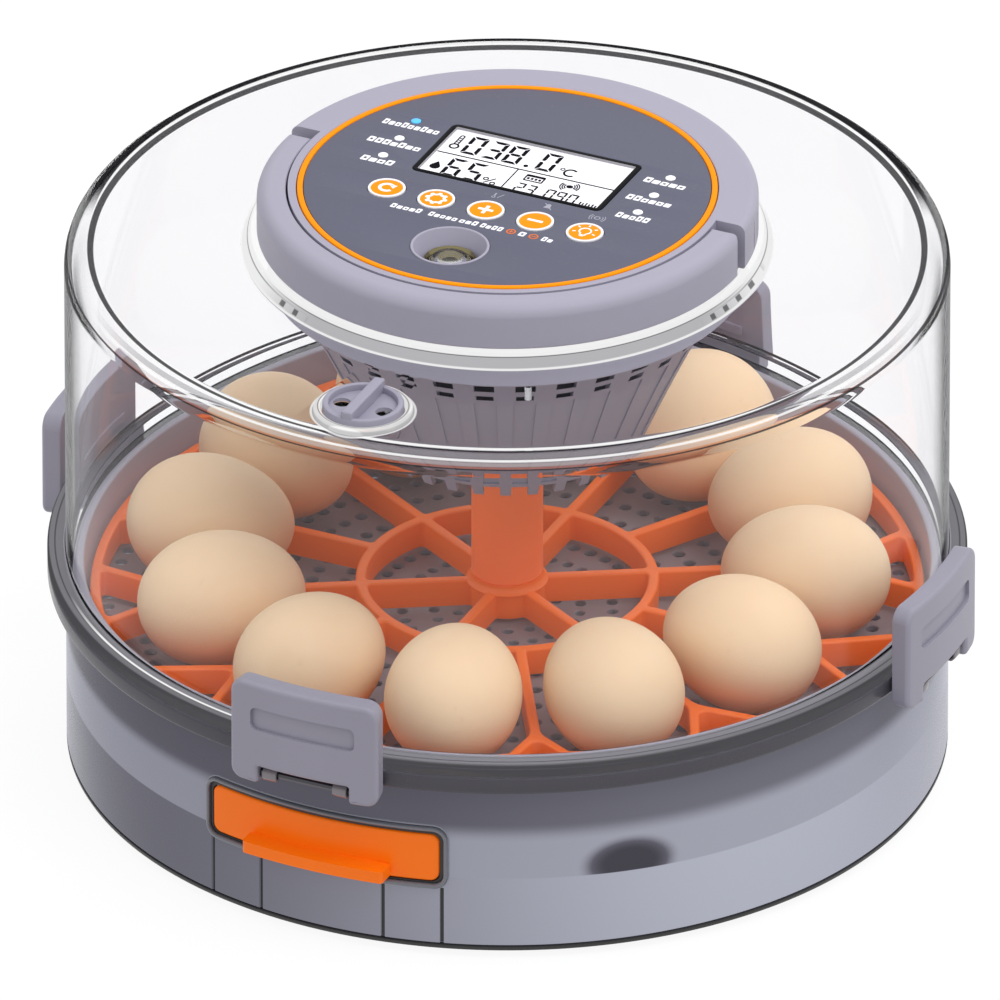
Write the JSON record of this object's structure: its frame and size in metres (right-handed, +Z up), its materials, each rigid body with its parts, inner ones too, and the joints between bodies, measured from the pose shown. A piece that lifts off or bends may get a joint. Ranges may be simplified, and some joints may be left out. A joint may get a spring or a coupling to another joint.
{
  "type": "egg incubator",
  "caption": "Round countertop egg incubator: clear dome with a control head, rotating egg grid over a perforated floor, water drawer in the drum base and side clips.",
  "frame": {"origin": "centre of the footprint on the plane the rubber feet stand on", "axes": "+Z up, -Y towards the front, where the water drawer and the reading direction of the panel face, +X to the right seen from the front"},
  "size_m": [0.316, 0.316, 0.2063],
  "materials": {
    "grey_plastic": "satin moulded ABS",
    "dark_grey_plastic": "satin moulded ABS",
    "smoke_plastic": "polished smoke-grey ABS",
    "rim_plastic": "polished dark grey ABS",
    "black_plastic": "fine texture",
    "rubber": "moulded",
    "orange_plastic": "satin moulded ABS",
    "bright_orange_plastic": "polished ABS",
    "amber_plastic": "polished, slightly translucent",
    "fascia_film": "fine matt film",
    "clear_plastic": "clear polystyrene",
    "lens": "clear",
    "eggshell": "calcite shell, matt",
    "steel": "bright drawn",
    "lcd": "backlit screen behind a clear cover",
    "board": "solder mask"
  },
  "bodies": {
    "base": {"base_shell": "smoke_plastic", "bottom_cover": "black_plastic", "foot_1": "rubber", "foot_2": "rubber", "foot_3": "rubber", "foot_4": "rubber", "rim_ring": "rim_plastic", "chamber_liner": "dark_grey_plastic", "egg_floor": "dark_grey_plastic", "water_tank": "dark_grey_plastic", "drawer_sleeve": "dark_grey_plastic", "clip_pin_front": "steel", "clip_pin_right": "steel", "clip_pin_back": "steel", "clip_pin_left": "steel"},
    "drawer": {"water_drawer": "bright_orange_plastic"},
    "turner": {"egg_grid": "orange_plastic", "drive_column": "orange_plastic", "drive_coupler": "black_plastic"},
    "lid": {"dome": "clear_plastic", "head_housing": "grey_plastic", "inner_deck": "dark_grey_plastic", "air_basket": "dark_grey_plastic", "control_fascia": "fascia_film", "accent_ring": "amber_plastic", "lcd_module": "lcd", "light_pipe_left": "lcd", "light_pipe_right": "lcd", "candler_cup": "grey_plastic", "candler_lens": "lens", "circuit_board": "board", "fan_motor": "black_plastic", "heater_ring": "steel", "turner_motor": "steel", "sensor_probe": "steel", "power_socket": "black_plastic"},
    "carry_handle": {"handle": "grey_plastic"},
    "vent": {"vent_knob": "grey_plastic"},
    "fan": {"fan_impeller": "black_plastic"},
    "key_cancel_cap": {"key_cancel": "amber_plastic"},
    "key_settings_cap": {"key_settings": "amber_plastic"},
    "key_plus_cap": {"key_plus": "amber_plastic"},
    "key_minus_cap": {"key_minus": "amber_plastic"},
    "key_lamp_cap": {"key_lamp": "amber_plastic"},
    "clip_front_body": {"clip_front": "grey_plastic"},
    "clip_right_body": {"clip_right": "grey_plastic"},
    "clip_back_body": {"clip_back": "grey_plastic"},
    "clip_left_body": {"clip_left": "grey_plastic"},
    "egg_01_body": {"egg_01": "eggshell"},
    "egg_02_body": {"egg_02": "eggshell"},
    "egg_03_body": {"egg_03": "eggshell"},
    "egg_04_body": {"egg_04": "eggshell"},
    "egg_05_body": {"egg_05": "eggshell"},
    "egg_06_body": {"egg_06": "eggshell"},
    "egg_07_body": {"egg_07": "eggshell"},
    "egg_08_body": {"egg_08": "eggshell"},
    "egg_09_body": {"egg_09": "eggshell"},
    "egg_10_body": {"egg_10": "eggshell"},
    "egg_11_body": {"egg_11": "eggshell"},
    "egg_12_body": {"egg_12": "eggshell"}
  },
  "joints": [
    {"name": "lid_lift", "type": "slide", "parent": "base", "child": "lid", "axis": [0, 0, 1], "range_m": [0, 0.15]},
    {"name": "handle_swing", "type": "hinge", "parent": "lid", "child": "carry_handle", "pos_m": [0, 0, 0.199], "axis": [-1, 0, 0], "range_deg": [0, 90]},
    {"name": "vent_turn", "type": "hinge", "parent": "lid", "child": "vent", "pos_m": [0.0056, -0.122, 0.1858], "axis": [0, 0, 1], "range_deg": [0, 90]},
    {"name": "key_cancel_press", "type": "slide", "parent": "lid", "child": "key_cancel_cap", "axis": [0, 0, -1], "range_m": [0, 0.0008], "stiffness_N_per_m": 900},
    {"name": "key_settings_press", "type": "slide", "parent": "lid", "child": "key_settings_cap", "axis": [0, 0, -1], "range_m": [0, 0.0008], "stiffness_N_per_m": 900},
    {"name": "key_plus_press", "type": "slide", "parent": "lid", "child": "key_plus_cap", "axis": [0, 0, -1], "range_m": [0, 0.0008], "stiffness_N_per_m": 900},
    {"name": "key_minus_press", "type": "slide", "parent": "lid", "child": "key_minus_cap", "axis": [0, 0, -1], "range_m": [0, 0.0008], "stiffness_N_per_m": 900},
    {"name": "key_lamp_press", "type": "slide", "parent": "lid", "child": "key_lamp_cap", "axis": [0, 0, -1], "range_m": [0, 0.0008], "stiffness_N_per_m": 900},
    {"name": "clip_front_swing", "type": "hinge", "parent": "base", "child": "clip_front_body", "pos_m": [0, -0.1535, 0.063], "axis": [1, 0, 0], "range_deg": [0, 95]},
    {"name": "clip_right_swing", "type": "hinge", "parent": "base", "child": "clip_right_body", "pos_m": [0.1535, 0, 0.063], "axis": [0, 1, 0], "range_deg": [0, 95]},
    {"name": "clip_back_swing", "type": "hinge", "parent": "base", "child": "clip_back_body", "pos_m": [0, 0.1535, 0.063], "axis": [-1, 0, 0], "range_deg": [0, 95]},
    {"name": "clip_left_swing", "type": "hinge", "parent": "base", "child": "clip_left_body", "pos_m": [-0.1535, 0, 0.063], "axis": [0, -1, 0], "range_deg": [0, 95]},
    {"name": "drawer_slide", "type": "slide", "parent": "base", "child": "drawer", "axis": [0, -1, 0], "range_m": [0, 0.045]},
    {"name": "turner_spin", "type": "hinge", "parent": "base", "child": "turner", "pos_m": [0, 0, 0.052], "axis": [0, 0, 1], "continuous": true},
    {"name": "fan_spin", "type": "hinge", "parent": "lid", "child": "fan", "pos_m": [0, 0, 0.163], "axis": [0, 0, 1], "continuous": true},
    {"name": "egg_01_roll", "type": "hinge", "parent": "turner", "child": "egg_01_body", "pos_m": [0.02549, -0.09514, 0.07245], "axis": [0.2588, -0.9659, 0], "continuous": true},
    {"name": "egg_02_roll", "type": "hinge", "parent": "turner", "child": "egg_02_body", "pos_m": [0.06965, -0.06965, 0.07245], "axis": [0.7071, -0.7071, 0], "continuous": true},
    {"name": "egg_03_roll", "type": "hinge", "parent": "turner", "child": "egg_03_body", "pos_m": [0.09514, -0.02549, 0.07245], "axis": [0.9659, -0.2588, 0], "continuous": true},
    {"name": "egg_04_roll", "type": "hinge", "parent": "turner", "child": "egg_04_body", "pos_m": [0.09514, 0.02549, 0.07245], "axis": [0.9659, 0.2588, 0], "continuous": true},
    {"name": "egg_05_roll", "type": "hinge", "parent": "turner", "child": "egg_05_body", "pos_m": [0.06965, 0.06965, 0.07245], "axis": [0.7071, 0.7071, 0], "continuous": true},
    {"name": "egg_06_roll", "type": "hinge", "parent": "turner", "child": "egg_06_body", "pos_m": [0.02549, 0.09514, 0.07245], "axis": [0.2588, 0.9659, 0], "continuous": true},
    {"name": "egg_07_roll", "type": "hinge", "parent": "turner", "child": "egg_07_body", "pos_m": [-0.02549, 0.09514, 0.07245], "axis": [-0.2588, 0.9659, 0], "continuous": true},
    {"name": "egg_08_roll", "type": "hinge", "parent": "turner", "child": "egg_08_body", "pos_m": [-0.06965, 0.06965, 0.07245], "axis": [-0.7071, 0.7071, 0], "continuous": true},
    {"name": "egg_09_roll", "type": "hinge", "parent": "turner", "child": "egg_09_body", "pos_m": [-0.09514, 0.02549, 0.07245], "axis": [-0.9659, 0.2588, 0], "continuous": true},
    {"name": "egg_10_roll", "type": "hinge", "parent": "turner", "child": "egg_10_body", "pos_m": [-0.09514, -0.02549, 0.07245], "axis": [-0.9659, -0.2588, 0], "continuous": true},
    {"name": "egg_11_roll", "type": "hinge", "parent": "turner", "child": "egg_11_body", "pos_m": [-0.06965, -0.06965, 0.07245], "axis": [-0.7071, -0.7071, 0], "continuous": true},
    {"name": "egg_12_roll", "type": "hinge", "parent": "turner", "child": "egg_12_body", "pos_m": [-0.02549, -0.09514, 0.07245], "axis": [-0.2588, -0.9659, 0], "continuous": true}
  ],
  "couplings": [
    {"joint": "egg_01_roll", "follows": "turner_spin", "ratio": -4.44},
    {"joint": "egg_02_roll", "follows": "turner_spin", "ratio": -4.44},
    {"joint": "egg_03_roll", "follows": "turner_spin", "ratio": -4.44},
    {"joint": "egg_04_roll", "follows": "turner_spin", "ratio": -4.44},
    {"joint": "egg_05_roll", "follows": "turner_spin", "ratio": -4.44},
    {"joint": "egg_06_roll", "follows": "turner_spin", "ratio": -4.44},
    {"joint": "egg_07_roll", "follows": "turner_spin", "ratio": -4.44},
    {"joint": "egg_08_roll", "follows": "turner_spin", "ratio": -4.44},
    {"joint": "egg_09_roll", "follows": "turner_spin", "ratio": -4.44},
    {"joint": "egg_10_roll", "follows": "turner_spin", "ratio": -4.44},
    {"joint": "egg_11_roll", "follows": "turner_spin", "ratio": -4.44},
    {"joint": "egg_12_roll", "follows": "turner_spin", "ratio": -4.44}
  ]
}
